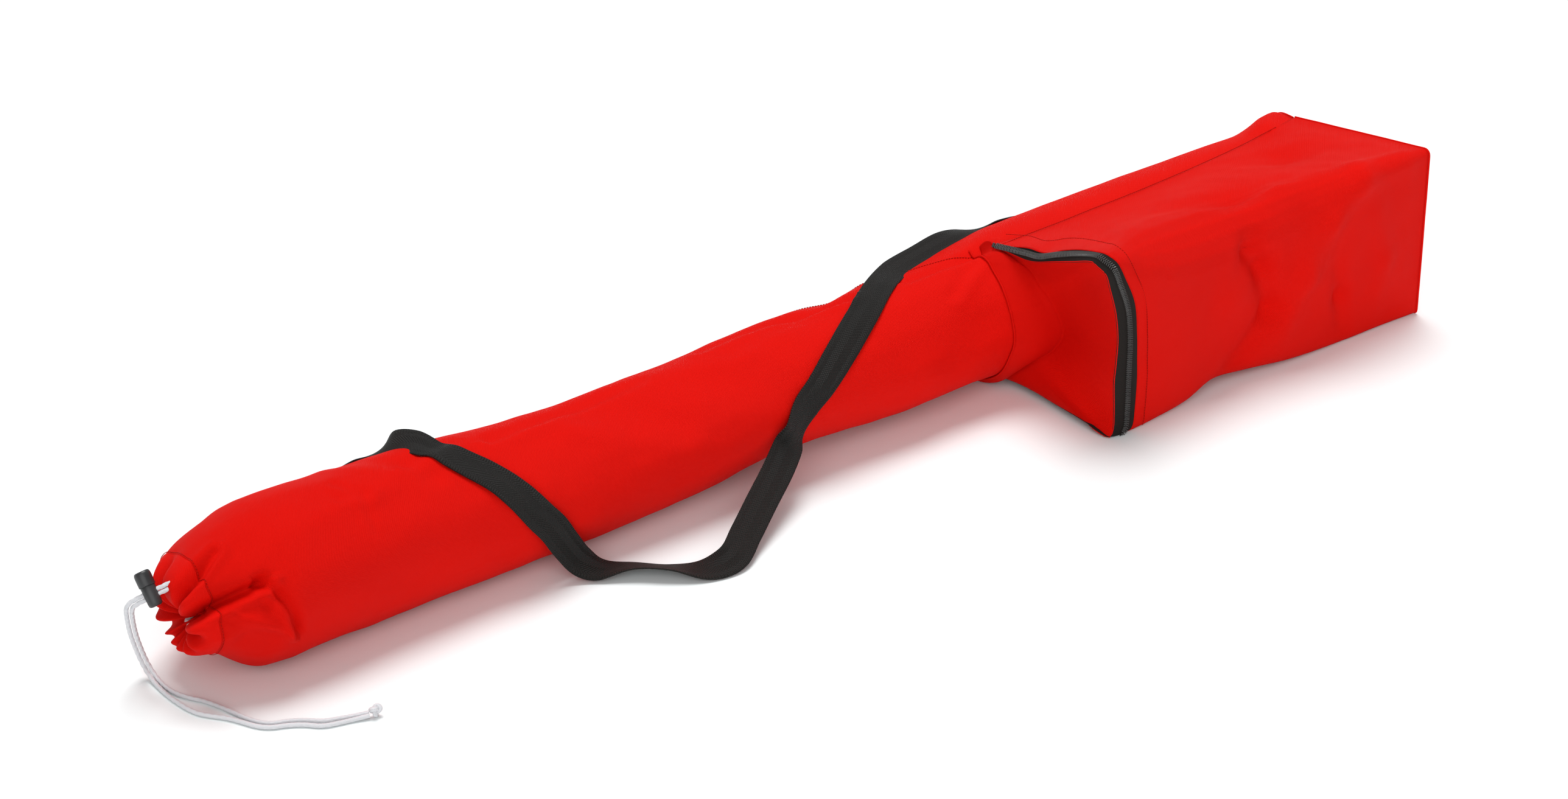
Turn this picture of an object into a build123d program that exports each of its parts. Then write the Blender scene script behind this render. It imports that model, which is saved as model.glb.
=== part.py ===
from build123d import *
import math
import os

os.makedirs("parts", exist_ok=True)

# A long ski bag lying on the ground. X runs along the bag, from the drawstring mouth to the
# end of the boot box; the boot box bulges towards -Y; Z is up and the ground is z = 0.
# All sizes are in millimetres.

# Whole bag
bag_length = 1700.0
fabric = 2.0                      # wall of every sewn fabric panel
mouth_x = -bag_length / 2         # front of the gathered mouth
end_x = bag_length / 2            # outside of the end panel
axis_y = 62.5                     # the sleeve's centre line

# Ski sleeve: how far each station lies from the mouth, then half its width and half its
# height as shares of the radius that the sleeve has behind the boot box
boot_sleeve_radius = 87.4
sleeve_shape = [(110.0, 1.081, 1.053), (250.0, 1.018, 0.984), (400.0, 0.961, 0.921),
                (700.0, 0.915, 0.875), (1000.0, 0.961, 0.938)]
sleeve_stations = [(x, a * boot_sleeve_radius, b * boot_sleeve_radius)
                   for x, a, b in sleeve_shape]
boot_sleeve_lift = 2.6            # the box's bottom panel passes under the sleeve

# Gathered mouth
hem_length = 60.0
hem_radius = 88.0
mouth_radius = 14.0
shoulder_inset = 14.0             # how far the gathered front rounds back at its shoulder
shoulder_radius = 58.0
tunnel_radius = 38.0              # ring that the drawcord follows inside the hem
tunnel_depth = 7.5                # from the front of the mouth to the drawcord
tunnel_wall = 6.0
tunnel_play = 0.4                 # play round the drawcord

# Boot box
box_length = 512.0
box_side_y = -157.5               # outside of the near side
box_height = 246.0
box_corner = 16.0
sole_corner = 10.0
wrap_lap = 9.5                    # how far the box panel laps over the sleeve, past its crest
zip_lift = 6.0                    # turned-up hem that keeps the zip off the ground

# Zip round the open end of the boot box
zip_setback = 20.0                # from the flap's face to the middle of the zip
zip_visible = 22.0                # black width between the two fabric edges
tape_width = 16.5
tape_thickness = 0.8
coil_width = 2.0
coil_height = 1.9
coil_gap = 1.2
zip_top_y = 34.0                  # where the top run starts, on the sleeve
zip_end_y = -8.0                  # where the bottom run ends, behind the sleeve

# Flap that closes the boot box
hinge_y = -31.0
flap_gap = 0.3
binding_width = 8.0
binding_thickness = 1.0

# Zip slider
slider_length = 12.0
slider_width = 13.0
slider_plate = 1.2
slider_play = 0.5
slider_web = 0.6
pull_length = 26.0
pull_width = 8.0
pull_thickness = 1.2
pull_pin = 0.8

# Cord lock and drawcord
cord_diameter = 5.0
strand_pitch = 5.3
lock_place = (mouth_x - 11.0, 55.0, 124.0)    # middle of the cord hole
lock_axis = Vector(-0.064, 0.611, 0.788).normalized()
cord_axis = Vector(-0.8485, 0.3825, -0.3654).normalized()
barrel_radius = 8.2
barrel_length = 26.0
barrel_floor = 1.5
bore_radius = 6.6
stem_radius = 6.3
cord_hole_height = 14.0                 # above the barrel's base
cord_slot_width = 6.0
cord_slot_height = 11.6
spring_length = 6.4
spring_radius = 5.0
spring_wire = 0.8
spring_turns = 2.5
head_radius = 9.4
head_length = 16.5
skirt_play = 0.4
press_travel = 4.0
knot_radius = 8.0

# Shoulder strap
webbing_width = 38.0
webbing_thickness = 1.6
strap_standoff = 4.6                    # between the sleeve's surface and the webbing's middle
swing_z = 100.0
anchor_length = 60.0
anchor_height = 42.0
anchor_thickness = 1.6
strap_stretch = bag_length / 1700.0     # the strap's route is laid out on a 1700 mm bag
mouth_anchor_x = -600.0 * strap_stretch
box_anchor_x = 446.0 * strap_stretch
strap_end_gap = 4.0

# Places that follow from the sizes above
box_x = end_x - box_length              # open rim of the box panel
zip_x = box_x - zip_visible / 2         # middle of the zip
flap_x = zip_x - zip_setback            # outside of the flap
hem_x = mouth_x + hem_length            # seam between the hem and the sleeve
axis_z = boot_sleeve_lift + boot_sleeve_radius
wrap_radius = axis_z                    # the box panel reaches the ground under the sleeve


def save(shape, name):
    shape.label = name
    export_step(shape, f"parts/{name}.step")


def block(x0, x1, y0, y1, z0, z1):
    return Pos((x0 + x1) / 2, (y0 + y1) / 2, (z0 + z1) / 2) * Box(x1 - x0, y1 - y0, z1 - z0)


def disc(x0, x1, radius, y=axis_y, z=axis_z):
    plane = Plane(origin=((x0 + x1) / 2, y, z), x_dir=(0, 1, 0), z_dir=(1, 0, 0))
    return plane * Cylinder(radius, x1 - x0)


def box_outline(inset, lift):
    """Section of the boot box: the sleeve's round back joined to two near corners."""
    plane = Plane(origin=(0, 0, 0), x_dir=(0, 1, 0), z_dir=(1, 0, 0))
    top = (box_side_y + box_corner, box_height - box_corner)
    sole = (box_side_y + sole_corner, lift + sole_corner)
    with BuildSketch(plane) as section:
        with BuildLine():
            CenterArc((axis_y, axis_z), wrap_radius - inset, 0, 360)
            CenterArc(top, box_corner - inset, 0, 360)
            CenterArc(sole, sole_corner - inset, 0, 360)
        make_hull()
    outline = section.sketch
    if lift:
        floor = plane * Pos(0, lift + inset - 100.0) * Rectangle(900.0, 200.0)
        outline = outline - floor
    return outline


def box_body(x0, x1, inset, lift=0.0):
    return extrude(Pos(x0, 0, 0) * box_outline(inset, lift), amount=x1 - x0, dir=(1, 0, 0))


def rim_band(x0, x1, outer, inner, lift=zip_lift):
    return box_body(x0, x1, outer, lift) - box_body(x0 - 1, x1 + 1, inner, lift)


def sleeve_body(inset):
    """The sleeve's outside, or its inside when it is inset by the fabric."""
    places = [(hem_x, hem_radius, hem_radius)]
    places += [(mouth_x + x, a, b) for x, a, b in sleeve_stations]
    places += [(flap_x - 30.0, boot_sleeve_radius, boot_sleeve_radius)]
    sections = []
    for x, a, b in places:
        lift = boot_sleeve_lift if x > flap_x - 31.0 else 0.0
        plane = Plane(origin=(x, axis_y, b + lift), x_dir=(0, 1, 0), z_dir=(1, 0, 0))
        sections.append(plane * Ellipse(a - inset, b - inset))
    front = loft(sections)
    return front + disc(flap_x - 30.0, end_x - fabric, boot_sleeve_radius - inset)


def sleeve_panel():
    return sleeve_body(0.0) - sleeve_body(fabric)


def hem_profile(inset):
    """Half section of the gathered mouth, x along the bag and y out from its axis."""
    front = mouth_x + inset
    shoulder = (mouth_x + shoulder_inset + inset * 0.7, shoulder_radius - inset * 0.7)
    crown = (hem_x, hem_radius - inset)
    return front, shoulder, crown


def mouth_hem():
    front, shoulder, crown = hem_profile(0.0)
    inner_front, inner_shoulder, inner_crown = hem_profile(fabric)
    plane = Plane(origin=(0, axis_y, hem_radius), x_dir=(1, 0, 0), z_dir=(0, -1, 0))
    with BuildSketch(plane) as half:
        with BuildLine():
            Line((front, mouth_radius), (front, tunnel_radius + 4))
            ThreePointArc((front, tunnel_radius + 4), shoulder, crown)
            Line(crown, inner_crown)
            ThreePointArc(inner_crown, inner_shoulder, (inner_front, tunnel_radius + 4))
            Line((inner_front, tunnel_radius + 4), (inner_front, mouth_radius))
            Line((inner_front, mouth_radius), (front, mouth_radius))
        make_face()
    skin = revolve(half.sketch, Axis((0, axis_y, hem_radius), (1, 0, 0)))
    centre = (mouth_x + tunnel_depth, axis_y, hem_radius)
    ring = Plane(origin=centre, z_dir=(1, 0, 0)) * Torus(tunnel_radius, tunnel_wall)
    keep = disc(mouth_x, hem_x, hem_radius + 1, z=hem_radius)
    hole = Plane(origin=centre, z_dir=(1, 0, 0))
    hole = hole * Torus(tunnel_radius, cord_diameter / 2 + tunnel_play)
    hem = skin + (ring & keep) - hole
    return hem - cord_slot(cord_slot_width, cord_slot_height)


def drawcord_loop():
    centre = (mouth_x + tunnel_depth, axis_y, hem_radius)
    ring = Plane(origin=centre, z_dir=(1, 0, 0)) * Torus(tunnel_radius, cord_diameter / 2)
    return ring - cord_slot(cord_slot_width, cord_slot_height)


def box_panel():
    """Top, near side and bottom in one piece, lapped over the sleeve, open at the rim."""
    ring = box_body(box_x, end_x - fabric, 0.0) - box_body(box_x - 1, end_x, fabric)
    far = block(box_x - 2, end_x + 1, axis_y + wrap_lap, 400, -1, box_height + 1)
    lip = box_body(box_x, box_x + fabric, fabric)
    lip = lip & block(box_x, box_x + fabric, box_side_y, axis_y, fabric, zip_lift + fabric)
    lip = lip - disc(box_x - 1, box_x + fabric + 1, boot_sleeve_radius + flap_gap)
    return ring - far + lip


def end_panel():
    return box_body(end_x - fabric, end_x, 0.0)


def end_seam_tape():
    """Narrow binding that covers the raw edge inside the end seam."""
    band = box_body(end_x - 12.0, end_x - fabric, fabric) - box_body(end_x - 13.0, end_x, 3.2)
    return band & block(end_x - 13.0, end_x, box_side_y, hinge_y, 0, box_height)


def step_face(x0, x1):
    face = box_body(x0, x1, 0.0, zip_lift)
    return face - disc(x0 - 1, x1 + 1, boot_sleeve_radius + flap_gap)


def flap_side(x0=-400, x1=600):
    return block(x0, x1, box_side_y - 1, hinge_y - flap_gap, -1, box_height + 1)


def fixed_side(x0, x1):
    """The stretch beside the sleeve that stays closed: above it and below it."""
    top = block(x0, x1, hinge_y, zip_top_y, axis_z, box_height)
    return top + block(x0, x1, hinge_y, zip_end_y, 0, axis_z)


def flap_flange():
    return rim_band(flap_x, zip_x - zip_visible / 2, 0.0, fabric)


def boot_flap():
    return (step_face(flap_x, flap_x + fabric) + flap_flange()) & flap_side()


def flap_gusset():
    """The part of the flap that is sewn round the sleeve."""
    face = step_face(flap_x, flap_x + fabric)
    return face & block(flap_x, flap_x + fabric, hinge_y, axis_y - 22.0, 0, box_height)


def neck_binding():
    outer = disc(flap_x - binding_width, flap_x, boot_sleeve_radius + binding_thickness)
    ring = outer - disc(flap_x - 20, flap_x + 1, boot_sleeve_radius)
    return ring & block(flap_x - 20, flap_x + 1, -100, axis_y - 22.0, 0, box_height)


def zip_tape(side):
    near = zip_x + side * coil_gap / 2
    far = near + side * tape_width
    return rim_band(min(near, far), max(near, far), fabric, fabric + tape_thickness)


def zip_coil(side):
    near = zip_x + side * coil_gap / 2
    far = near + side * coil_width
    return rim_band(min(near, far), max(near, far), fabric - coil_height, fabric)


def zip_pieces():
    """Zip halves: the box side whole, the other side split at the flap's fold."""
    u_path = flap_side() + fixed_side(-400, 600)
    u_path = u_path + block(-400, 600, hinge_y - 1, hinge_y, axis_z, box_height)
    u_path = u_path + block(-400, 600, hinge_y - 1, hinge_y, 0, axis_z)
    near_sleeve = fixed_side(-400, 600)
    return {
        "zip_tape_box": zip_tape(1) & u_path,
        "zip_coil_box": zip_coil(1) & u_path,
        "zip_tape_flap": zip_tape(-1) & flap_side(),
        "zip_coil_flap": zip_coil(-1) & flap_side(),
        "zip_tape_gusset": zip_tape(-1) & near_sleeve,
        "zip_coil_gusset": zip_coil(-1) & near_sleeve,
    }


def zip_stops():
    """Small crimped stops just past each end of the coils."""
    low = zip_lift + fabric
    half = coil_gap / 2 + coil_width
    bottom = block(zip_x - half, zip_x + half, zip_end_y, zip_end_y + 3, low - coil_height, low)
    section = box_body(zip_x - half, zip_x + half, fabric - coil_height, zip_lift)
    section = section - box_body(zip_x - 9, zip_x + 9, fabric, zip_lift)
    top = section & block(zip_x - 9, zip_x + 9, zip_top_y, zip_top_y + 3, axis_z, box_height)
    return Compound([bottom, top])


slider_y = zip_end_y - slider_length / 2 - 3.0
coil_bottom = zip_lift + fabric - coil_height
slider_low = coil_bottom - slider_play - slider_plate
slider_high = zip_lift + fabric + tape_thickness + slider_play


def zip_slider():
    y0 = slider_y - slider_length / 2
    y1 = slider_y + slider_length / 2
    x0 = zip_x - slider_width / 2
    x1 = zip_x + slider_width / 2
    below = block(x0, x1, y0, y1, slider_low, slider_low + slider_plate)
    above = block(x0, x1, y0, y1, slider_high, slider_high + slider_plate)
    web = block(zip_x - slider_web / 2, zip_x + slider_web / 2, y0, y1, slider_low, slider_high)
    lug_y = y1 - 3.0
    lug = block(zip_x - 1.0, zip_x + 1.0, lug_y - 1.6, lug_y + 1.6, slider_low - 2.4, slider_low)
    pin = Pos(zip_x, lug_y, slider_low - 1.3) * Rot(0, 90, 0) * Cylinder(pull_pin, 6.0)
    return below + above + web + lug + pin


def pull_pivot():
    return zip_x, slider_y + slider_length / 2 - 3.0, slider_low - 1.3


def zip_pull():
    x, y, z = pull_pivot()
    half = pull_thickness / 2
    tab = block(x - pull_width / 2, x + pull_width / 2, y, y + pull_length, z - half, z + half)
    slot = block(x - 1.3, x + 1.3, y - 2.1, y + 3.0, z - 2, z + 2)
    barrel = Pos(x, y, z) * Rot(0, 90, 0) * Cylinder(pull_pin + 0.45, pull_width)
    bore = Pos(x, y, z) * Rot(0, 90, 0) * Cylinder(pull_pin + 0.08, pull_width + 2)
    grip = Pos(x, y + pull_length - 5.0, z) * Cylinder(1.8, 4.0)
    return tab + barrel - bore - slot - grip


def lock_plane(height):
    """Plane across the cord lock, this far above its base, x along the cord."""
    place = Vector(*lock_place) + lock_axis * (height - cord_hole_height)
    return Plane(origin=place, x_dir=cord_axis, z_dir=lock_axis)


def lock_cylinder(radius, low, high):
    return lock_plane((low + high) / 2) * Cylinder(radius, high - low)


def cord_slot(width, height, length=60.0):
    """Straight slot along the cord, through whatever it is cut from."""
    return lock_plane(cord_hole_height) * Box(length, width, height)


def cordlock_barrel():
    shell = lock_cylinder(barrel_radius, 0, barrel_length)
    bore = lock_cylinder(bore_radius, barrel_floor, barrel_length + 1)
    return shell - bore - cord_slot(cord_slot_width, cord_slot_height)


def cordlock_plunger():
    low = barrel_floor + spring_length + 0.1
    top = barrel_length - 2.0 + head_length
    stem = lock_cylinder(stem_radius, low, barrel_length + press_travel + 1)
    head = lock_cylinder(head_radius, barrel_length - 2.0, top)
    roof = barrel_length + press_travel + skirt_play
    pocket = lock_cylinder(barrel_radius + skirt_play, barrel_length - 3, roof)
    slot = cord_slot(cord_slot_width, cord_slot_height)
    room = lock_plane(cord_hole_height + press_travel / 2)
    slot = slot + room * Box(60.0, cord_slot_width, cord_slot_height + press_travel)
    return head - pocket + (stem - slot)


def cordlock_spring():
    pitch = (spring_length - spring_wire) / spring_turns
    coil = Helix(pitch, pitch * spring_turns, spring_radius)
    start = Plane(origin=coil @ 0, z_dir=coil % 0)
    wire = sweep(start * Circle(spring_wire / 2), path=coil, is_frenet=True)
    return lock_plane(barrel_floor + spring_wire / 2) * wire


# The drawcord's two tails leave the lock side by side, hang to the ground and lie there.
# X is measured from the mouth.
through = Vector(*lock_place)
tail_a_lay = [
    (-31, 65, 107), (-27, 73, 88), (-21.5, 81, 64), (-15, 86, 41), (-8.5, 87, 18),
    (-5.5, 75, 4.4), (-6, 56, 2.9), (-3.5, 38, 2.9), (4, 21, 2.9), (14, 7, 2.9),
    (22, -12, 2.9), (28.5, -32, 2.9), (34.5, -52, 2.9), (42, -67, 2.9), (52, -77, 2.9),
    (67, -82, 2.9), (83, -92, 2.9), (97, -106, 2.9), (113, -111.5, 2.9), (128, -117, 2.9),
    (142.8, -124.0, 5.0),
]
tail_b_lay = [
    (-35.3, 69.5, 110), (-31.5, 77.5, 89), (-26, 85.5, 64), (-19.5, 90.5, 41),
    (-13, 91.5, 17.5), (-11, 77, 4.2), (-12, 55, 2.9), (-11.5, 35, 2.9), (-9.5, 18, 2.9),
    (-7, 2, 2.9), (-2, -13, 2.9), (8, -26, 2.9), (19, -39, 2.9), (27.5, -55, 2.9),
    (36, -72, 2.9), (47, -82.5, 2.9), (62.5, -88.5, 2.9), (78, -98.5, 2.9),
    (91, -113, 2.9), (108, -118.5, 2.9), (126, -123, 2.9), (140.9, -128.7, 4.8),
]
tail_a_route = [through - cord_axis * 18.0 - lock_axis * strand_pitch / 2,
                through + cord_axis * 19.0 - lock_axis * strand_pitch / 2]
tail_b_route = [through - cord_axis * 18.0 + lock_axis * strand_pitch / 2,
                through + cord_axis * 19.0 + lock_axis * strand_pitch / 2]
tail_a_route += [Vector(mouth_x + x, y, z) for x, y, z in tail_a_lay]
tail_b_route += [Vector(mouth_x + x, y, z) for x, y, z in tail_b_lay]
knot_place = (mouth_x + 149.0, -128.0, knot_radius)


def tail_radii(points):
    """Largest arcs that the runs allow: 0.45 of the shorter run at each corner."""
    radii = []
    for before, corner, after in zip(points, points[1:], points[2:]):
        run_in = corner - before
        run_out = after - corner
        turn = math.radians(run_in.get_angle(run_out))
        radii.append(0.45 * min(run_in.length, run_out.length) / math.tan(turn / 2))
    return radii


def drawcord_tail(route, name):
    points = [Vector(*point) for point in route]
    radii = tail_radii(points)
    path = FilletPolyline(*points, radius=radii)
    start = Plane(origin=path @ 0, z_dir=path % 0)
    tube = sweep(start * Circle(cord_diameter / 2), path=path)
    ideal = math.pi * cord_diameter**2 / 4 * path.length
    print(name, "length", round(path.length), "smallest radius", round(min(radii), 1),
          "radii", [round(r) for r in radii], "volume ratio", round(tube.volume / ideal, 4))
    return tube


def drawcord_knot():
    """Both tails end in one overhand knot, here its plain outer shape."""
    return Pos(*knot_place) * Sphere(knot_radius)


def sleeve_point(x, angle, standoff):
    """Point this many degrees round the sleeve from +Y, off its surface."""
    stations = [(hem_x, hem_radius, hem_radius)]
    stations += [(mouth_x + s, a, b) for s, a, b in sleeve_stations]
    stations += [(flap_x - 30.0, boot_sleeve_radius, axis_z), (end_x, boot_sleeve_radius, axis_z)]
    for (x0, a0, b0), (x1, a1, b1) in zip(stations, stations[1:]):
        if x0 <= x <= x1:
            share = (x - x0) / (x1 - x0)
            a = a0 + share * (a1 - a0) + standoff
            b = b0 + share * (b1 - b0)
    turn = math.radians(angle)
    return Vector(x, axis_y + a * math.cos(turn), b + (b + standoff) * math.sin(turn))


# Where the strap's middle crosses the sleeve: x and degrees round it
strap_mouth_leg = [(-592, 22), (-576, 38), (-552, 56), (-524, 74), (-494, 92), (-468, 110),
                   (-446, 129), (-428, 148), (-412, 167), (-398, 183)]
strap_box_leg = [(-40, 175), (-14, 156), (14, 138), (44, 122), (76, 107), (112, 92),
                 (154, 78), (200, 64), (250, 53), (304, 45), (356, 39), (404, 31), (438, 22)]
# Where it lies beside the bag: its middle and the direction across it
strap_ground = [
    ((-384, -29, 46), (0.88, 0.10, 0.46)),
    ((-368, -33, 22), (0.86, 0.32, 0.38)),
    ((-346, -42, 6.5), (0.70, 0.70, 0.14)),
    ((-314, -62, 1.6), (0.56, 0.83, 0.0)),
    ((-284, -88, 1.6), (0.52, 0.85, 0.0)),
    ((-250, -112, 4.5), (0.30, 0.94, 0.12)),
    ((-218, -118, 12.5), (-0.24, 0.88, 0.42)),
    ((-184, -98, 22), (-0.50, 0.76, 0.42)),
    ((-142, -72, 36), (-0.58, 0.72, 0.39)),
    ((-98, -46, 52), (-0.62, 0.66, 0.42)),
    ((-66, -30, 68), (-0.60, 0.52, 0.60)),
]


def strap_sections():
    """Middle of the webbing, and the direction across it, at each place along the strap."""
    legs = []
    for leg in (strap_mouth_leg, strap_box_leg):
        leg = [(x * strap_stretch, angle) for x, angle in leg]
        middles = [sleeve_point(x, angle, strap_standoff) for x, angle in leg]
        rows = []
        for i, (x, angle) in enumerate(leg):
            along = middles[min(i + 1, len(leg) - 1)] - middles[max(i - 1, 0)]
            turn = math.radians(angle)
            outward = Vector(0, math.cos(turn), math.sin(turn))
            rows.append((middles[i], outward.cross(along).normalized(), along))
        legs.append(rows)
    ground = []
    places = [Vector(x * strap_stretch, y, z) for (x, y, z), across in strap_ground]
    for i, (middle, across) in enumerate(strap_ground):
        along = places[min(i + 1, len(places) - 1)] - places[max(i - 1, 0)]
        ground.append((places[i], Vector(*across).normalized(), along))
    return legs[0], ground, legs[1]


def shoulder_strap():
    mouth_leg, ground, box_leg = strap_sections()
    rows = (mouth_leg + ground + box_leg)[::-1]
    sections = []
    previous = None
    for middle, across, along in rows:
        if previous is not None and across.dot(previous) < 0:
            across = across * -1
        previous = across
        across = (across - along.normalized() * across.dot(along.normalized())).normalized()
        plane = Plane(origin=middle, x_dir=across, z_dir=along.normalized())
        sections.append(plane * Rectangle(webbing_width, webbing_thickness))
    return Solid.make_loft([section.wires()[0] for section in sections], ruled=True)


def strap_anchor(x):
    """Sewn-down end of the webbing, flat outside and following the sleeve inside."""
    outside = sleeve_point(x, 0, anchor_thickness).Y
    patch = block(x - anchor_length / 2, x + anchor_length / 2, outside - 8.0, outside,
                  swing_z - anchor_height - strap_end_gap, swing_z - strap_end_gap)
    return patch - sleeve_body(0.0)


def main():
    save(sleeve_panel(), "sleeve_panel")
    save(mouth_hem(), "mouth_hem")
    save(drawcord_loop(), "drawcord_loop")
    save(box_panel(), "box_panel")
    save(end_panel(), "end_panel")
    save(end_seam_tape(), "end_seam_tape")
    save(boot_flap(), "boot_flap")
    save(flap_gusset(), "flap_gusset")
    save(neck_binding(), "neck_binding")
    for name, piece in zip_pieces().items():
        save(piece, name)
    save(zip_stops(), "zip_stops")
    save(zip_slider(), "zip_slider")
    save(zip_pull(), "zip_pull")
    save(cordlock_barrel(), "cordlock_barrel")
    save(cordlock_plunger(), "cordlock_plunger")
    save(cordlock_spring(), "cordlock_spring")
    save(drawcord_tail(tail_a_route, "drawcord_tail_a"), "drawcord_tail_a")
    save(drawcord_tail(tail_b_route, "drawcord_tail_b"), "drawcord_tail_b")
    save(drawcord_knot(), "drawcord_knot")
    save(shoulder_strap(), "shoulder_strap")
    save(strap_anchor(mouth_anchor_x), "strap_anchor_mouth")
    save(strap_anchor(box_anchor_x), "strap_anchor_box")


main()
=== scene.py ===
import math

import bmesh
import bpy
from mathutils import Matrix, Vector, noise


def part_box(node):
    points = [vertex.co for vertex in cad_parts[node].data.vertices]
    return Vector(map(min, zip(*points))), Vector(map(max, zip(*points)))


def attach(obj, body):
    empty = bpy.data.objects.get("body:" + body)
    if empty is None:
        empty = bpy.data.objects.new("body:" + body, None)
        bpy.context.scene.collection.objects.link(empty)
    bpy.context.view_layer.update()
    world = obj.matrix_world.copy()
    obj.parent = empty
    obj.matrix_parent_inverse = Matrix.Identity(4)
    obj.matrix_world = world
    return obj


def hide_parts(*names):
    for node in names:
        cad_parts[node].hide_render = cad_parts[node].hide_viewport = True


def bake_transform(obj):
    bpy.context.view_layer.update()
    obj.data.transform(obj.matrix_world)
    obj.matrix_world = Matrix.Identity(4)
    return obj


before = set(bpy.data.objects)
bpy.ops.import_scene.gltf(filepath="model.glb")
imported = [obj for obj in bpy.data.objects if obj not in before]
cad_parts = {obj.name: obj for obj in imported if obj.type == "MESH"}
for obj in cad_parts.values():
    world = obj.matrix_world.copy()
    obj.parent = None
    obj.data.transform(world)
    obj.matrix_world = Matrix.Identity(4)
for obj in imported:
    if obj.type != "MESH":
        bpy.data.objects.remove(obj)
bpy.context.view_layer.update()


def corners(node):
    low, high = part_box(node)
    return Vector(low), Vector(high)


def mix(a, b, share):
    return a + (b - a) * share


def ease(low, high, value):
    # 0 below low, 1 above high, smooth between
    share = min(max((value - low) / (high - low), 0.0), 1.0)
    return share * share * (3 - 2 * share)


def hump(value, centre, width):
    return math.exp(-((value - centre) / width) ** 2)


def curveThrough(stops, value):
    # smooth line through (place, value, value, ...) rows, flat at both ends
    if value <= stops[0][0]:
        return stops[0][1:]
    for i in range(len(stops) - 1):
        if value <= stops[i + 1][0]:
            break
    else:
        return stops[-1][1:]
    before, a, b, after = (stops[max(i - 1, 0)], stops[i], stops[i + 1],
                           stops[min(i + 2, len(stops) - 1)])
    span = b[0] - a[0]
    t = (value - a[0]) / span
    found = []
    for k in range(1, len(a)):
        slopeA = (b[k] - before[k]) / max(b[0] - before[0], 1e-9) * span
        slopeB = (after[k] - a[k]) / max(after[0] - a[0], 1e-9) * span
        found.append((2 * t**3 - 3 * t**2 + 1) * a[k] + (t**3 - 2 * t**2 + t) * slopeA
                     + (3 * t**2 - 2 * t**3) * b[k] + (t**3 - t**2) * slopeB)
    return tuple(found)


def nearestOn(a, b, place):
    # share along the run from a to b that lies nearest to the place, and the gap left over
    run = b - a
    share = min(max((place - a).dot(run) / run.length_squared, 0.0), 1.0)
    return share, place - a - run * share


def distancesAlong(path):
    walked = [0.0]
    for a, b in zip(path, path[1:]):
        walked.append(walked[-1] + (b - a).length)
    return walked


def finish(name, mesh, material, body, replaces=(), smooth=True):
    data = bpy.data.meshes.new(name)
    mesh.to_mesh(data)
    mesh.free()
    for polygon in data.polygons:
        polygon.use_smooth = smooth
    piece = bpy.data.objects.new(name, data)
    bpy.context.scene.collection.objects.link(piece)
    data.materials.append(material)
    if body:
        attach(piece, body)
    if replaces:
        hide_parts(*replaces)
    return piece


def sheet(across, along, place, size, closed=False, outward=None):
    # a flat grid of cloth, each point moved to where the bag holds it
    mesh = bmesh.new()
    uv = mesh.loops.layers.uv.new("cloth")
    bmesh.ops.create_grid(mesh, x_segments=along, y_segments=across, size=0.5)
    flat = {}
    for vert in mesh.verts:
        flat[vert.index] = (vert.co.x + 0.5, vert.co.y + 0.5)
    mesh.verts.ensure_lookup_table()
    for face in mesh.faces:
        for loop in face.loops:
            u, v = flat[loop.vert.index]
            loop[uv].uv = (u * size[0], v * size[1])
    for vert in mesh.verts:
        u, v = flat[vert.index]
        vert.co = place(u, v)
    if closed:
        bmesh.ops.remove_doubles(mesh, verts=mesh.verts, dist=1e-5)
        bmesh.ops.recalc_face_normals(mesh, faces=mesh.faces)
    mesh.normal_update()
    if outward is not None:
        lean = sum(face.normal.dot(outward(face.calc_center_median())) for face in mesh.faces)
        if lean < 0:
            bmesh.ops.reverse_faces(mesh, faces=mesh.faces)
    return mesh


def tube(path, side, sides, size, radiusAt):
    # a closed tube round a path; side is the way its seam faces at the start
    last = len(path) - 1
    ways = []
    for i in range(last + 1):
        ahead = (path[min(i + 1, last)] - path[max(i - 1, 0)]).normalized()
        side = side - ahead * side.dot(ahead)
        if side.length < 1e-4:
            side = ahead.orthogonal()
        side.normalize()
        ways.append((side.copy(), ahead.cross(side)))

    def place(u, v):
        i = int(round(u * last))
        turn = v * 2 * math.pi
        a, b = ways[i]
        return path[i] + (a * math.cos(turn) + b * math.sin(turn)) * radiusAt(u, turn)

    mesh = sheet(sides, last, place, size, closed=True)
    bmesh.ops.holes_fill(mesh, edges=[edge for edge in mesh.edges if edge.is_boundary], sides=0)
    bmesh.ops.recalc_face_normals(mesh, faces=mesh.faces)
    return mesh


def blankMesh():
    mesh = bmesh.new()
    mesh.loops.layers.uv.new("cloth")
    return mesh


def addBlock(mesh, size, axes, place, bevel=0.0, segments=1):
    # one small block, turned to the axes and put at the place
    made = bmesh.ops.create_cube(mesh, size=1.0)["verts"]
    bmesh.ops.scale(mesh, verts=made, vec=size)
    if bevel:
        edges = list({edge for vert in made for edge in vert.link_edges})
        bevelled = bmesh.ops.bevel(mesh, geom=edges, offset=bevel, affect="EDGES",
                                   segments=segments, profile=0.5, material=-1)
        made = list({vert for face in bevelled["faces"] for vert in face.verts})
    turn = Matrix(axes).transposed().to_4x4()
    turn.translation = place
    bmesh.ops.transform(mesh, matrix=turn, verts=made)
    return made


def thicken(piece, thickness, offset=-1.0):
    wall = piece.modifiers.new("cloth thickness", "SOLIDIFY")
    wall.thickness = thickness
    wall.offset = offset
    return wall


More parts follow.
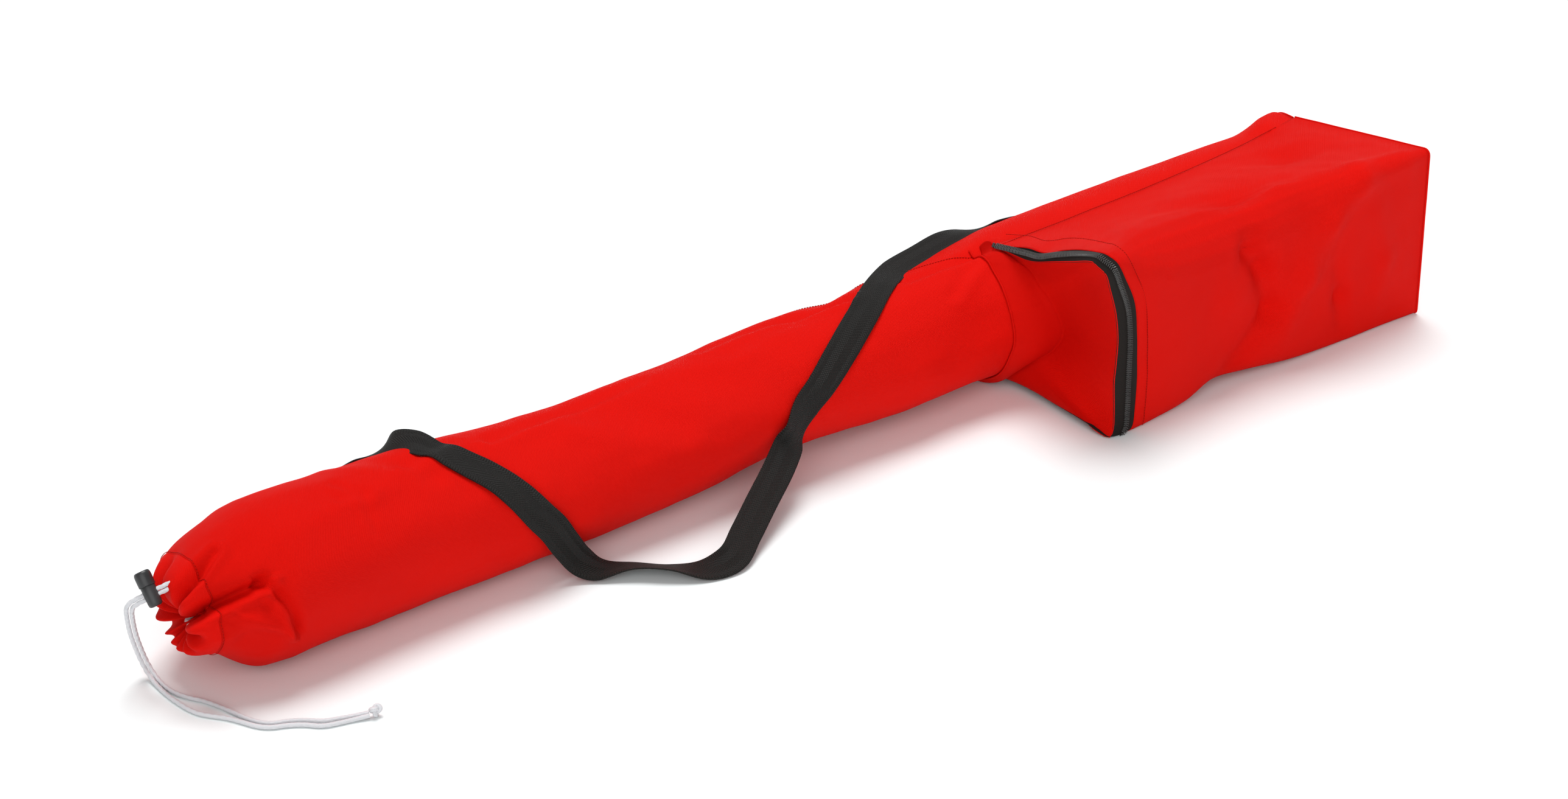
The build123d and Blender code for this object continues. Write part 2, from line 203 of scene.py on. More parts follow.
class Yarn:
    # one shader value; arithmetic on it adds Math nodes
    def __init__(self, tree, socket=None):
        self.tree = tree
        self.socket = socket

    def node(self, kind, settings=None, values=None, out=0):
        made = self.tree.nodes.new(kind)
        for key, value in (settings or {}).items():
            if key == "stops":
                ramp = made.color_ramp
                while len(ramp.elements) < len(value):
                    ramp.elements.new(0.5)
                for element, (place, colour) in zip(ramp.elements, value):
                    element.position = place
                    element.color = colour
            else:
                setattr(made, key, value)
        for key, value in (values or {}).items():
            if isinstance(value, Yarn):
                self.tree.links.new(value.socket, made.inputs[key])
            else:
                made.inputs[key].default_value = value
        return Yarn(self.tree, made.outputs[out])

    def maths(self, operation, *terms):
        return self.node("ShaderNodeMath", {"operation": operation}, dict(enumerate(terms)))

    def __add__(self, other):
        return self.maths("ADD", self, other)

    def __sub__(self, other):
        return self.maths("SUBTRACT", self, other)

    def __mul__(self, other):
        return self.maths("MULTIPLY", self, other)

    def __rsub__(self, other):
        return self.maths("SUBTRACT", other, self)

    __radd__ = __add__
    __rmul__ = __mul__


def newMaterial(name, constants):
    material = bpy.data.materials.new(name)
    material.use_nodes = True
    tree = material.node_tree
    shader = tree.nodes["Principled BSDF"]
    for key, value in constants.items():
        shader.inputs[key].default_value = value
    return material, Yarn(tree), shader


def plug(tool, shader, name, value):
    tool.tree.links.new(value.socket, shader.inputs[name])


def mottle(tool, place, scale, detail):
    return tool.node("ShaderNodeTexNoise",
                     values={"Vector": place, "Scale": scale, "Detail": detail})


def dye(tool, shader, settings, share):
    # the deep colour turns to the bright one as share rises
    colour = tool.node("ShaderNodeMix", {"data_type": "RGBA"},
                       {"Factor": share, 6: (*settings["deep"], 1.0),
                        7: (*settings["bright"], 1.0)}, out=2)
    plug(tool, shader, "Base Color", colour)


def emboss(tool, shader, height, strength, depth):
    plug(tool, shader, "Normal", tool.node("ShaderNodeBump", values={
        "Height": height, "Strength": strength, "Distance": depth}))


def clothMaterial(name, settings):
    material, tool, shader = newMaterial(name, {
        "Sheen Weight": settings["sheen"], "Sheen Roughness": 0.4,
        "Specular IOR Level": settings["gloss"]})
    uv = tool.node("ShaderNodeUVMap", {"uv_map": "cloth"})
    parts = tool.node("ShaderNodeSeparateXYZ", values={"Vector": uv})
    u, v = parts, Yarn(tool.tree, parts.socket.node.outputs[1])
    turn = 2 * math.pi / settings["pitch"]
    slub = mottle(tool, uv, settings["slubScale"], 3.0)
    if settings.get("herringbone"):
        # columns of twill that lean left and right in turn, plain bands along both edges
        column = tool.maths("PINGPONG", v, settings["herringbone"])
        slant = (u + column * 1.1) * turn + slub * 1.4
        fromMiddle = tool.maths("ABSOLUTE", v - settings["width"] / 2)
        edge = tool.maths("GREATER_THAN", fromMiddle, settings["width"] / 2 - settings["plainBand"])
        plain = u * (turn * 1.15)
        rib = tool.maths("SINE", slant) * (1 - edge) + tool.maths("SINE", plain) * edge
    else:
        slant = u * turn + v * (turn * settings["lean"]) + slub * 2.0
        rib = tool.maths("SINE", slant)
    weft = tool.maths("SINE", v * (turn * 1.7) - u * (turn * 0.25))
    weave = rib * 0.5 + weft * 0.22 + slub * 0.5
    objectPlace = tool.node("ShaderNodeTexCoord", out=3)
    wear = mottle(tool, objectPlace, 7.0, 4.0)
    fleck = mottle(tool, objectPlace, 420.0, 2.0)
    dye(tool, shader, settings, weave * 0.16 + wear * 0.28 + fleck * 0.24 + 0.14)
    plug(tool, shader, "Roughness", weave * 0.06 + wear * 0.10 + settings["roughness"])
    emboss(tool, shader, weave, settings["relief"], settings["depth"])
    return material


redCloth = {"bright": (0.88, 0.008, 0.002), "deep": (0.68, 0.0012, 0.0003), "roughness": 0.62,
            "sheen": 0.0, "gloss": 0.075, "pitch": 0.0016, "lean": 0.85, "slubScale": 260.0,
            "relief": 0.65, "depth": 0.0005}
blackWebbing = {"bright": (0.016, 0.014, 0.012), "deep": (0.0025, 0.0022, 0.0018),
                "roughness": 0.55, "sheen": 0.02, "gloss": 0.28, "pitch": 0.0034, "lean": 1.0,
                "slubScale": 300.0, "relief": 0.9, "depth": 0.0010, "herringbone": 0.0095,
                "width": 0.038, "plainBand": 0.0052}
blackTape = {"bright": (0.021, 0.016, 0.014), "deep": (0.008, 0.006, 0.005), "roughness": 0.7,
             "sheen": 0.02, "gloss": 0.18, "pitch": 0.0009, "lean": 0.0, "slubScale": 500.0,
             "relief": 0.5, "depth": 0.0003}
whiteBraid = {"bright": (0.88, 0.88, 0.90), "deep": (0.58, 0.58, 0.61), "roughness": 0.40,
              "sheen": 0.02, "gloss": 0.45, "pitch": 0.0016, "lean": 0.6, "slubScale": 400.0,
              "relief": 0.5, "depth": 0.0004}


def plasticMaterial(name, settings):
    material, tool, shader = newMaterial(name, {"Specular IOR Level": 0.5,
                                                "Metallic": settings.get("metallic", 0.0)})
    place = tool.node("ShaderNodeTexCoord", out=3)
    grain = mottle(tool, place, settings["grain"], 3.0)
    smear = mottle(tool, place, 60.0, 2.0)
    dye(tool, shader, settings, smear)
    plug(tool, shader, "Roughness", smear * 0.12 + settings["roughness"])
    emboss(tool, shader, grain, 0.25, 0.0002)
    return material


fabric = clothMaterial("red polyester cloth", redCloth)
webbing = clothMaterial("black twill webbing", blackWebbing)
zipTape = clothMaterial("black zip tape", blackTape)
braid = clothMaterial("white braided cord", whiteBraid)
lockPlastic = plasticMaterial("black moulded plastic", {
    "bright": (0.040, 0.040, 0.042), "deep": (0.018, 0.018, 0.019), "roughness": 0.34,
    "grain": 900.0})
zipPlastic = plasticMaterial("zip coil nylon", {
    "bright": (0.105, 0.10, 0.097), "deep": (0.045, 0.043, 0.041), "roughness": 0.26,
    "grain": 600.0})
zipMetal = plasticMaterial("lacquered zip metal", {
    "bright": (0.09, 0.09, 0.09), "deep": (0.05, 0.05, 0.05), "roughness": 0.30,
    "grain": 500.0, "metallic": 0.6})
springSteel = plasticMaterial("spring steel", {
    "bright": (0.62, 0.62, 0.62), "deep": (0.48, 0.48, 0.48), "roughness": 0.25,
    "grain": 800.0, "metallic": 1.0})
redThread = clothMaterial("red sewing thread", {**redCloth, "bright": (0.52, 0.006, 0.002),
                                                "deep": (0.34, 0.002, 0.001), "pitch": 0.0006})
print("materials ready")


view = {"azimuth": 37.177, "elevation": 29.640, "distance": 4.314, "lens": 83.85,
        "aim": (-0.0430, 0.0152, 0.1)}


def setCamera():
    turn, lift = math.radians(view["azimuth"]), math.radians(view["elevation"])
    ahead = Vector((math.sin(turn) * math.cos(lift), math.cos(turn) * math.cos(lift),
                    -math.sin(lift)))
    lens = bpy.data.cameras.new("camera")
    lens.lens = view["lens"]
    lens.sensor_width = 36.0
    camera = bpy.data.objects.new("camera", lens)
    bpy.context.scene.collection.objects.link(camera)
    camera.location = Vector(view["aim"]) - ahead * view["distance"]
    camera.rotation_euler = ahead.to_track_quat("-Z", "Y").to_euler()
    bpy.context.scene.camera = camera


studio = {
    "floorSize": 30.0, "floor": (0.89, 0.93, 0.93), "sky": 0.34,
    # name, strength, degrees across, where it shines from
    "lights": [("soft key", 2.25, 30.0, (0.16, 0.26, 1.0)),
               ("front fill", 1.20, 60.0, (-0.55, -0.75, 0.50))],
}


def setStudio():
    mesh = bmesh.new()
    bmesh.ops.create_grid(mesh, x_segments=1, y_segments=1, size=studio["floorSize"] / 2)
    data = bpy.data.meshes.new("floor")
    mesh.to_mesh(data)
    mesh.free()
    floor = bpy.data.objects.new("floor", data)
    bpy.context.scene.collection.objects.link(floor)
    material, *_ = newMaterial("pale floor", {
        "Base Color": (*studio["floor"], 1.0), "Roughness": 0.9, "Specular IOR Level": 0.1})
    data.materials.append(material)
    world = bpy.data.worlds.new("studio")
    bpy.context.scene.world = world
    world.use_nodes = True
    sky = world.node_tree.nodes["Background"]
    sky.inputs["Color"].default_value = (1.0, 1.0, 1.0, 1.0)
    sky.inputs["Strength"].default_value = studio["sky"]
    for name, strength, softness, place in studio["lights"]:
        light = bpy.data.lights.new(name, "SUN")
        light.energy = strength
        light.angle = math.radians(softness)
        lamp = bpy.data.objects.new(name, light)
        bpy.context.scene.collection.objects.link(lamp)
        lamp.rotation_euler = (-Vector(place)).to_track_quat("-Z", "Y").to_euler()
    bpy.context.scene.view_settings.view_transform = "Standard"


setCamera()
setStudio()


hemLow, hemHigh = corners("mouth_hem")
boxLow, boxHigh = corners("box_panel")
axisY = (hemLow.y + hemHigh.y) / 2
rimX = boxLow.x
endX = boxHigh.x


clothWall = 0.0011

sleeve = {
    "cells": (144, 340), "radius": 0.085, "girth": 0.54, "middleZ": 0.088,
    # x, half width, half height, how far it is off the ground
    "stations": [(-0.765, 0.0925, 0.0905, 0.0), (-0.740, 0.0940, 0.0915, 0.0),
                 (-0.620, 0.0900, 0.0890, 0.0), (-0.560, 0.0880, 0.0875, 0.0),
                 (-0.450, 0.0845, 0.0825, 0.0), (-0.300, 0.0810, 0.0785, 0.0),
                 (-0.150, 0.0795, 0.0770, 0.003), (-0.050, 0.0785, 0.0745, 0.016),
                 (0.060, 0.0800, 0.0765, 0.013), (0.150, 0.0825, 0.0795, 0.010),
                 (0.220, 0.0845, 0.0810, 0.011), (0.300, 0.0870, 0.0880, 0.007),
                 (0.350, 0.0874, 0.0925, 0.003), (0.500, 0.0874, 0.0955, 0.001),
                 (0.620, 0.0874, 0.0955, 0.001), (0.850, 0.0874, 0.0940, 0.001)],
    # distance from the lip along the cloth, x, share of full radius
    "mouth": [(0.000, -0.806, 0.025), (0.014, -0.820, 0.07), (0.028, -0.834, 0.21),
              (0.044, -0.8400, 0.41), (0.064, -0.8350, 0.57), (0.086, -0.8215, 0.72),
              (0.112, -0.799, 0.845), (0.145, -0.769, 0.94), (0.192, -0.724, 1.0)],
    "mouthCentre": (0.048, 0.083),
    "rest": 0.0006, "restSoftness": 0.006,
    # the hem laps 1.5 mm over the sleeve's edge
    "hemWidth": 0.090, "hemLap": 0.0015, "hemCells": (260, 56), "hemWall": 0.0016,
    # what the gathered cloth loses of its radius below and above, and how far it puffs out
    "tuckBelow": 0.44, "tuckAbove": 0.07, "puff": 0.0085,
    # loose waves all over: height, how often round and along, and a shift
    "waves": [(0.0038, 1.1, 5.0, 0.0), (0.0020, 2.0, 11.0, 3.0), (0.0008, 4.0, 30.0, 7.0)],
}

# pleats of the gathered mouth: degrees round, half width in degrees, depth, how far they reach
pleats = [(28, 13, 0.020, 0.075), (64, 11, 0.022, 0.090), (114, 9, 0.022, 0.095),
          (146, 12, 0.034, 0.120), (177, 9, 0.018, 0.070),
          (205, 10, 0.013, 0.060), (236, 12, 0.009, 0.060), (268, 12, 0.009, 0.060),
          (296, 12, 0.014, 0.070), (325, 13, 0.022, 0.080), (356, 12, 0.022, 0.080)]

# folds of the sleeve: (x, degrees) along each, width, depth inwards (below 0: a ridge), the
# height of the lip beside it, and its strength at both ends
sleeveFolds = [
    ([(-0.840, 144), (-0.818, 147), (-0.798, 148), (-0.776, 148), (-0.760, 147)],
     0.0075, 0.024, 0.45, 1.0, 0.75),
    ([(-0.792, 156), (-0.772, 155), (-0.756, 160)], 0.0150, 0.010, 0.0, 0.8, 0.8),
    ([(-0.762, 147), (-0.748, 158), (-0.738, 176), (-0.734, 192)], 0.0055, 0.009, 0.7, 0.7, 1.0),
    ([(-0.806, 158), (-0.790, 168), (-0.742, 191)], 0.0060, -0.006, 0.0, 0.7, 1.0),
    ([(-0.790, 186), (-0.765, 192)], 0.0140, 0.006, 0.0, 1.0, 0.8),
    ([(-0.822, 116), (-0.806, 111), (-0.790, 106)], 0.0065, 0.011, 0.5, 1.0, 0.7),
    ([(-0.812, 100), (-0.792, 98)], 0.0090, -0.005, 0.0, 1.0, 0.6),
    ([(-0.728, 122), (-0.642, 116), (-0.578, 114)], 0.013, -0.0035, 0.0, 0.6, 0.8),
    ([(-0.637, 108), (-0.606, 112)], 0.007, 0.0030, 0.6, 0.6, 1.0),
    ([(-0.612, 116), (-0.617, 142)], 0.006, 0.0020, 0.5, 1.0, 0.5),
    ([(-0.427, 93), (-0.340, 86), (-0.204, 81)], 0.009, 0.0050, 0.5, 1.0, 0.5),
    ([(-0.112, 71), (-0.013, 71), (0.064, 77), (0.097, 84)], 0.009, 0.0050, 0.6, 0.5, 1.0),
    ([(0.178, 92), (0.260, 93), (0.300, 98)], 0.007, 0.0050, 0.7, 0.5, 1.0),
    ([(-0.745, 128), (-0.690, 112), (-0.640, 104)], 0.026, 0.0030, 0.4, 0.6, 0.4),
    ([(-0.690, 122), (-0.600, 108), (-0.520, 100)], 0.016, -0.0028, 0.0, 0.4, 0.8),
    ([(-0.628, 92), (-0.618, 104)], 0.006, 0.0020, 0.6, 1.0, 0.6),
    ([(-0.700, 205), (-0.560, 200)], 0.040, 0.0030, 0.3, 0.6, 0.6),
    ([(-0.590, 60), (-0.560, 84), (-0.520, 112)], 0.014, 0.0035, 0.7, 0.4, 0.8),
    ([(-0.540, 96), (-0.505, 88), (-0.470, 84)], 0.010, 0.0040, 0.7, 1.0, 0.4),
    ([(-0.480, 110), (-0.440, 128), (-0.420, 150)], 0.015, 0.0030, 0.5, 0.5, 1.0),
    ([(-0.430, 86), (-0.340, 104), (-0.290, 132)], 0.018, -0.0040, 0.0, 0.4, 1.0),
    ([(-0.360, 150), (-0.300, 170)], 0.024, 0.0035, 0.3, 0.8, 0.6),
    ([(-0.300, 96), (-0.240, 112), (-0.200, 140)], 0.020, 0.0040, 0.5, 0.5, 1.0),
    ([(-0.240, 76), (-0.160, 88), (-0.080, 100)], 0.018, -0.0035, 0.0, 0.6, 0.6),
    ([(-0.130, 120), (-0.060, 140), (-0.030, 170)], 0.022, 0.0040, 0.4, 0.5, 1.0),
    ([(-0.090, 92), (-0.030, 84), (0.020, 80)], 0.014, 0.0030, 0.6, 1.0, 0.5),
    ([(0.020, 84), (0.080, 62), (0.110, 50)], 0.022, 0.0075, 0.2, 0.6, 1.0),
    ([(0.080, 118), (0.160, 108), (0.230, 112)], 0.018, -0.0030, 0.0, 0.5, 1.0),
    ([(0.120, 150), (0.190, 168), (0.250, 160)], 0.026, 0.0040, 0.3, 0.5, 1.0),
    ([(0.215, 122), (0.262, 104), (0.298, 96)], 0.009, 0.0050, 0.7, 0.6, 1.0),
    ([(0.240, 100), (0.275, 92), (0.300, 90)], 0.007, 0.0035, 0.7, 0.4, 1.0),
    ([(0.200, 190), (0.270, 200)], 0.026, 0.0040, 0.3, 0.5, 1.0),
    ([(0.790, 78), (0.812, 66), (0.835, 60)], 0.020, -0.0125, 0.0, 0.8, 1.0),
]


def alongFold(place, line):
    # distance to a fold's line, on which side, and how far along it
    best = None
    total = sum((b - a).length for a, b in zip(line, line[1:]))
    walked = 0.0
    for a, b in zip(line, line[1:]):
        run = b - a
        share, gap = nearestOn(a, b, place)
        if best is None or gap.length < best[0]:
            side = 1.0 if run.x * gap.y - run.y * gap.x > 0 else -1.0
            best = (gap.length, side, (walked + run.length * share) / total)
        walked += run.length
    return best


def flatPlace(x, degrees):
    # a place on the sleeve's cloth, unrolled
    return Vector((x, math.radians(degrees) * sleeve["radius"]))


foldLines = [([flatPlace(*stop) for stop in line], *rest) for line, *rest in sleeveFolds]


def foldRelief(place, folds):
    relief = 0.0
    for line, width, depth, lip, start, end in folds:
        reach, side, share = alongFold(place, line)
        if reach > width * 3.5:
            continue
        strength = mix(start, end, share)
        relief -= depth * strength * math.exp(-(reach / width) ** 2)
        relief += abs(depth) * lip * strength * hump(reach * side, width * 1.7, width * 0.9)
    return relief


def sleeveRelief(x, turn):
    # how far the cloth stands in or out of the plain tube
    relief = foldRelief(flatPlace(x, math.degrees(turn) % 360), foldLines)
    ring = Vector((math.cos(turn), math.sin(turn), 0.0))
    for height, across, along, shift in sleeve["waves"]:
        relief += height * noise.noise(ring * across + Vector((shift, 0.0, x * along)))
    # the cloth is tighter inside the boot box
    return relief * (1.0 - 0.6 * ease(0.30, 0.36, x) * (1.0 - ease(0.76, 0.79, x)))


def restOnGround(z):
    # cloth that would sink under the ground lies flat on it
    low, soft = sleeve["rest"], sleeve["restSoftness"]
    lift = z - low
    return low + 0.5 * (lift + math.sqrt(lift * lift + soft * soft)) - soft * 0.35


def skinPoint(along, turn, standOff=0.0):
    # along: distance from the lip; past the gathered part it follows x
    lastMouth = sleeve["mouth"][-1]
    if along < lastMouth[0]:
        x, share = curveThrough(sleeve["mouth"], along)
    else:
        x, share = lastMouth[1] + (along - lastMouth[0]), 1.0
    a, b, lift = curveThrough(sleeve["stations"], x)
    gather = 1.0 - ease(0.012, 0.175, along)
    centreY = mix(axisY, sleeve["mouthCentre"][0], gather)
    centreZ = mix(lift + b, sleeve["mouthCentre"][1], gather)
    low, high = max(-math.sin(turn), 0.0), max(math.sin(turn), 0.0)
    share *= 1.0 - sleeve["tuckBelow"] * low * (1.0 - ease(0.08, 0.16, along)) * ease(0.015, 0.05, along)
    share *= 1.0 - sleeve["tuckAbove"] * high * hump(along, 0.140, 0.045)
    radiusA, radiusB = a * share + standOff, b * share + standOff
    degrees = math.degrees(turn) % 360
    fold = 0.0
    for centre, width, depth, reach in pleats:
        gap = abs((degrees - centre + 180) % 360 - 180)
        if gap < width * 3 and along < reach * 1.35:
            deep = 1.0 - ease(reach * 0.30, reach * 1.3, along)
            narrow = width * mix(1.15, 0.62, deep)
            fold += depth * deep * math.exp(-(gap / narrow) ** 2)
    puff = sleeve["puff"] * ease(0.0, 0.03, along) * (1.0 - ease(0.05, 0.10, along))
    inward = fold * ease(0.08, 0.45, share) * 0.95
    bulge = sleeveRelief(x, turn) * min(share * 1.1, 1.0) * ease(0.03, 0.10, along) + 0.6 * puff
    radiusA += bulge - inward
    radiusB += bulge - inward
    back = fold * (1.0 - ease(0.5, 0.95, share)) * 0.9
    x += back - puff * 0.7 * (1.0 - min(fold / 0.012, 1.0))
    z = centreZ + radiusB * math.sin(turn)
    return Vector((x, centreY + radiusA * math.cos(turn), restOnGround(z)))


def sleeveAt(x, degrees, standOff=0.0):
    lastMouth = sleeve["mouth"][-1]
    return skinPoint(x - lastMouth[1] + lastMouth[0], math.radians(degrees), standOff)


def ringWay(point):
    return Vector((0.0, point.y - axisY, point.z - sleeve["middleZ"]))


def makeSleeve():
    start = sleeve["hemWidth"]
    whole = sleeve["mouth"][-1][0] + (endX - 0.003 - sleeve["mouth"][-1][1])

    def place(u, v):
        # finer rows near the mouth
        distance = start + (whole - start) * (0.45 * u + 0.55 * u * u)
        return skinPoint(distance, (v - 0.25) * 2 * math.pi)

    mesh = sheet(*sleeve["cells"], place, (whole - start, sleeve["girth"]), closed=True,
                 outward=ringWay)
    piece = finish("sleeve_cloth", mesh, fabric, "bag", ["sleeve_panel"])
    thicken(piece, clothWall)


def makeHem():
    width = sleeve["hemWidth"] + sleeve["hemLap"]

    def place(u, v):
        return skinPoint(width * u, (v - 0.25) * 2 * math.pi, clothWall * ease(0.35, 0.6, u))

    mesh = sheet(*sleeve["hemCells"], place, (width, sleeve["girth"]), closed=True,
                 outward=lambda c: ringWay(c) + Vector((-0.03, 0.0, 0.0)))
    piece = finish("mouth_hem_cloth", mesh, fabric, "bag", ["mouth_hem"])
    thicken(piece, sleeve["hemWall"])


makeSleeve()
makeHem()
print("sleeve sewn")


boxCloth = {
    "cells": (150, 120), "round": 0.78, "crown": 0.005, "lowest": 0.0005,
    # loose waves all over: height, how often, and a shift
    "waves": [(0.0046, 6.0, 0.0), (0.0024, 13.0, 5.0), (0.0009, 34.0, 0.0)],
    # x, seam on the sleeve y and z, top corner y and z, bottom corner y and z, softness of both
    "stations": [(0.290, 0.036, 0.1875, -0.140, 0.2500, -0.1600, 0.0008, 0.014, 0.006),
                 (0.340, 0.037, 0.1885, -0.153, 0.2490, -0.1630, 0.0008, 0.030, 0.007),
                 (0.400, 0.038, 0.1890, -0.153, 0.2470, -0.1620, 0.0008, 0.060, 0.009),
                 (0.450, 0.040, 0.1895, -0.153, 0.2465, -0.1580, 0.0030, 0.075, 0.012),
                 (0.500, 0.041, 0.1900, -0.153, 0.2450, -0.1530, 0.0130, 0.075, 0.016),
                 (0.550, 0.043, 0.1905, -0.153, 0.2430, -0.1540, 0.0100, 0.070, 0.014),
                 (0.630, 0.048, 0.1915, -0.154, 0.2410, -0.1580, 0.0030, 0.050, 0.010),
                 (0.720, 0.058, 0.1915, -0.153, 0.2365, -0.1590, 0.0008, 0.024, 0.007),
                 (0.790, 0.070, 0.1915, -0.154, 0.2345, -0.1590, 0.0008, 0.015, 0.006),
                 (0.850, 0.082, 0.1895, -0.1555, 0.2325, -0.1600, 0.0008, 0.008, 0.005)],
    # how far down the rim its top corner and its bottom corner lie
    "topCorner": 0.42, "soleCorner": 0.765,
}

# folds of the box cloth: places along each, width, depth inwards (below 0: a ridge)
boxFolds = [
    ([(0.545, -0.150, 0.215), (0.545, -0.157, 0.180), (0.568, -0.157, 0.150), (0.588, -0.157, 0.085),
      (0.512, -0.157, 0.015)], 0.017, 0.0150),
    ([(0.500, -0.150, 0.200), (0.520, -0.157, 0.130), (0.500, -0.157, 0.060)], 0.028, -0.0060),
    ([(0.655, -0.157, 0.200), (0.640, -0.157, 0.120), (0.600, -0.157, 0.035)], 0.020, -0.0090),
    ([(0.690, -0.155, 0.135), (0.705, -0.157, 0.070), (0.716, -0.157, 0.010)], 0.012, 0.0085),
    ([(0.845, -0.155, 0.232), (0.730, -0.150, 0.226), (0.680, -0.155, 0.185), (0.655, -0.157, 0.120)],
     0.018, -0.0080),
    ([(0.730, -0.150, 0.226), (0.620, -0.125, 0.236), (0.555, -0.140, 0.222)], 0.020, -0.0070),
    ([(0.600, -0.150, 0.222), (0.640, -0.155, 0.195)], 0.018, 0.0070),
    ([(0.755, -0.157, 0.190), (0.780, -0.157, 0.100), (0.770, -0.157, 0.030)], 0.016, -0.0050),
    ([(0.400, -0.020, 0.205), (0.355, -0.090, 0.236), (0.350, -0.120, 0.245)], 0.018, 0.0050),
    ([(0.460, -0.060, 0.220), (0.560, -0.095, 0.228), (0.640, -0.115, 0.236)], 0.026, 0.0080),
    ([(0.640, 0.020, 0.200), (0.720, -0.030, 0.215), (0.800, -0.060, 0.222)], 0.034, 0.0060),
    ([(0.790, -0.157, 0.018), (0.848, -0.157, 0.030)], 0.007, 0.0035),
]
boxLines = [([Vector(stop) for stop in line], width, depth) for line, width, depth in boxFolds]


def alongOutline(points, softness, share):
    # place along a line through the points, its corners rounded by averaging a short stretch
    lengths = [(b - a).length for a, b in zip(points, points[1:])]
    total = sum(lengths)

    def at(distance):
        distance = min(max(distance, 0.0), total)
        for a, b, length in zip(points, points[1:], lengths):
            if distance <= length:
                return a.lerp(b, distance / length)
            distance -= length
        return points[-1]

    here = share * total
    reach = min(softness, here, total - here)
    spots = [at(here + reach * step) for step in (-1.0, -0.6, -0.2, 0.2, 0.6, 1.0)]
    return sum(spots, Vector((0.0, 0.0))) / len(spots), [length / total for length in lengths]


def boxOutline(x, share):
    seamY, seamZ, topY, topZ, soleY, soleZ, soft, soleSoft = curveThrough(boxCloth["stations"], x)
    points = [Vector((seamY, seamZ)), Vector((topY, topZ)), Vector((soleY, soleZ)),
              Vector((axisY, 0.0008))]
    _, shares = alongOutline(points, 0.0, share)
    blend = ease(shares[0], shares[0] + shares[1], share)
    return alongOutline(points, mix(soft, soleSoft, blend), share)


def boxPoint(x, share, standOff=0.0):
    here, shares = boxOutline(x, share)
    before, _ = boxOutline(x, max(share - 0.004, 0.0))
    after, _ = boxOutline(x, min(share + 0.004, 1.0))
    along = (after - before).normalized()
    place = Vector((x, here.x, here.y))
    relief = 0.0
    for line, width, depth in boxLines:
        shared = 1.0 if len(line) == 2 else 0.72    # the runs of a longer fold overlap
        for a, b in zip(line, line[1:]):
            part, gap = nearestOn(a, b, place)
            reach = gap.length
            if reach < width * 2.5:
                last = (a == line[0]) * (1 - part) + (b == line[-1]) * part
                fade = 1.0 - 0.75 * last * last
                relief -= depth * math.exp(-(reach / width) ** 2) * fade * shared
    for height, often, shift in boxCloth["waves"]:
        relief += height * noise.noise(place * often + Vector((0.0, shift, 0.0)))
    crown = boxCloth["crown"] * math.sin(math.pi * min(share * 1.5, 1.0))
    hold = ease(0.0, 0.05, share) * ease(0.0, 0.10, 1.0 - share)
    hold *= mix(0.25, 1.0, ease(0.0, 0.06, x - 0.33)) * mix(0.15, 1.0, ease(0.0, 0.04, endX - x))
    sole = shares[0] + shares[1]
    flat = 1.0 - ease(sole - 0.03, sole + 0.01, share)   # the underside stays on the ground
    lift = (relief + crown) * hold * flat + standOff
    return Vector((x, here.x + along.y * lift, max(here.y - along.x * lift, boxCloth["lowest"])))


# the two edges of the zip round the open end: share down the rim, then where the red cloth of
# the flap ends, and where the red cloth of the box begins
rim = [(0.000, 0.2980, 0.0400, 0.1870, 0.2990, 0.0420, 0.1880),
       (0.050, 0.3000, 0.0080, 0.1890, 0.3040, 0.0120, 0.1970),
       (0.100, 0.3010, -0.0180, 0.1905, 0.3060, -0.0160, 0.2060),
       (0.150, 0.3000, -0.0380, 0.1965, 0.3060, -0.0440, 0.2110),
       (0.220, 0.3000, -0.0680, 0.2095, 0.3100, -0.0760, 0.2265),
       (0.300, 0.3010, -0.1020, 0.2235, 0.3150, -0.1020, 0.2360),
       (0.370, 0.3010, -0.1340, 0.2365, 0.3160, -0.1380, 0.2460),
       (0.390, 0.3020, -0.1430, 0.2335, 0.3180, -0.1470, 0.2450),
       (0.420, 0.3040, -0.1560, 0.2275, 0.3230, -0.1565, 0.2380),
       (0.460, 0.3110, -0.1570, 0.2070, 0.3340, -0.1590, 0.2160),
       (0.530, 0.3230, -0.1570, 0.1680, 0.3520, -0.1595, 0.1750),
       (0.590, 0.3280, -0.1570, 0.1320, 0.3580, -0.1600, 0.1280),
       (0.640, 0.3270, -0.1570, 0.0990, 0.3600, -0.1600, 0.0950),
       (0.680, 0.3255, -0.1570, 0.0730, 0.3610, -0.1605, 0.0690),
       (0.730, 0.3275, -0.1575, 0.0330, 0.3595, -0.1610, 0.0280),
       (0.757, 0.3260, -0.1590, 0.0090, 0.3560, -0.1620, 0.0060),
       (0.775, 0.3190, -0.1595, 0.0018, 0.3480, -0.1600, 0.0010),
       (0.795, 0.3130, -0.1430, 0.0055, 0.3385, -0.1430, 0.0050),
       (0.820, 0.3125, -0.1240, 0.0085, 0.3380, -0.1240, 0.0080),
       (0.900, 0.3125, -0.0630, 0.0085, 0.3380, -0.0630, 0.0080),
       (0.970, 0.3130, 0.0040, 0.0085, 0.3375, 0.0040, 0.0080),
       (1.000, 0.3120, 0.0400, 0.0085, 0.3360, 0.0400, 0.0080)]


def rimEdges(down):
    found = curveThrough(rim, down)
    return Vector(found[:3]), Vector(found[3:])


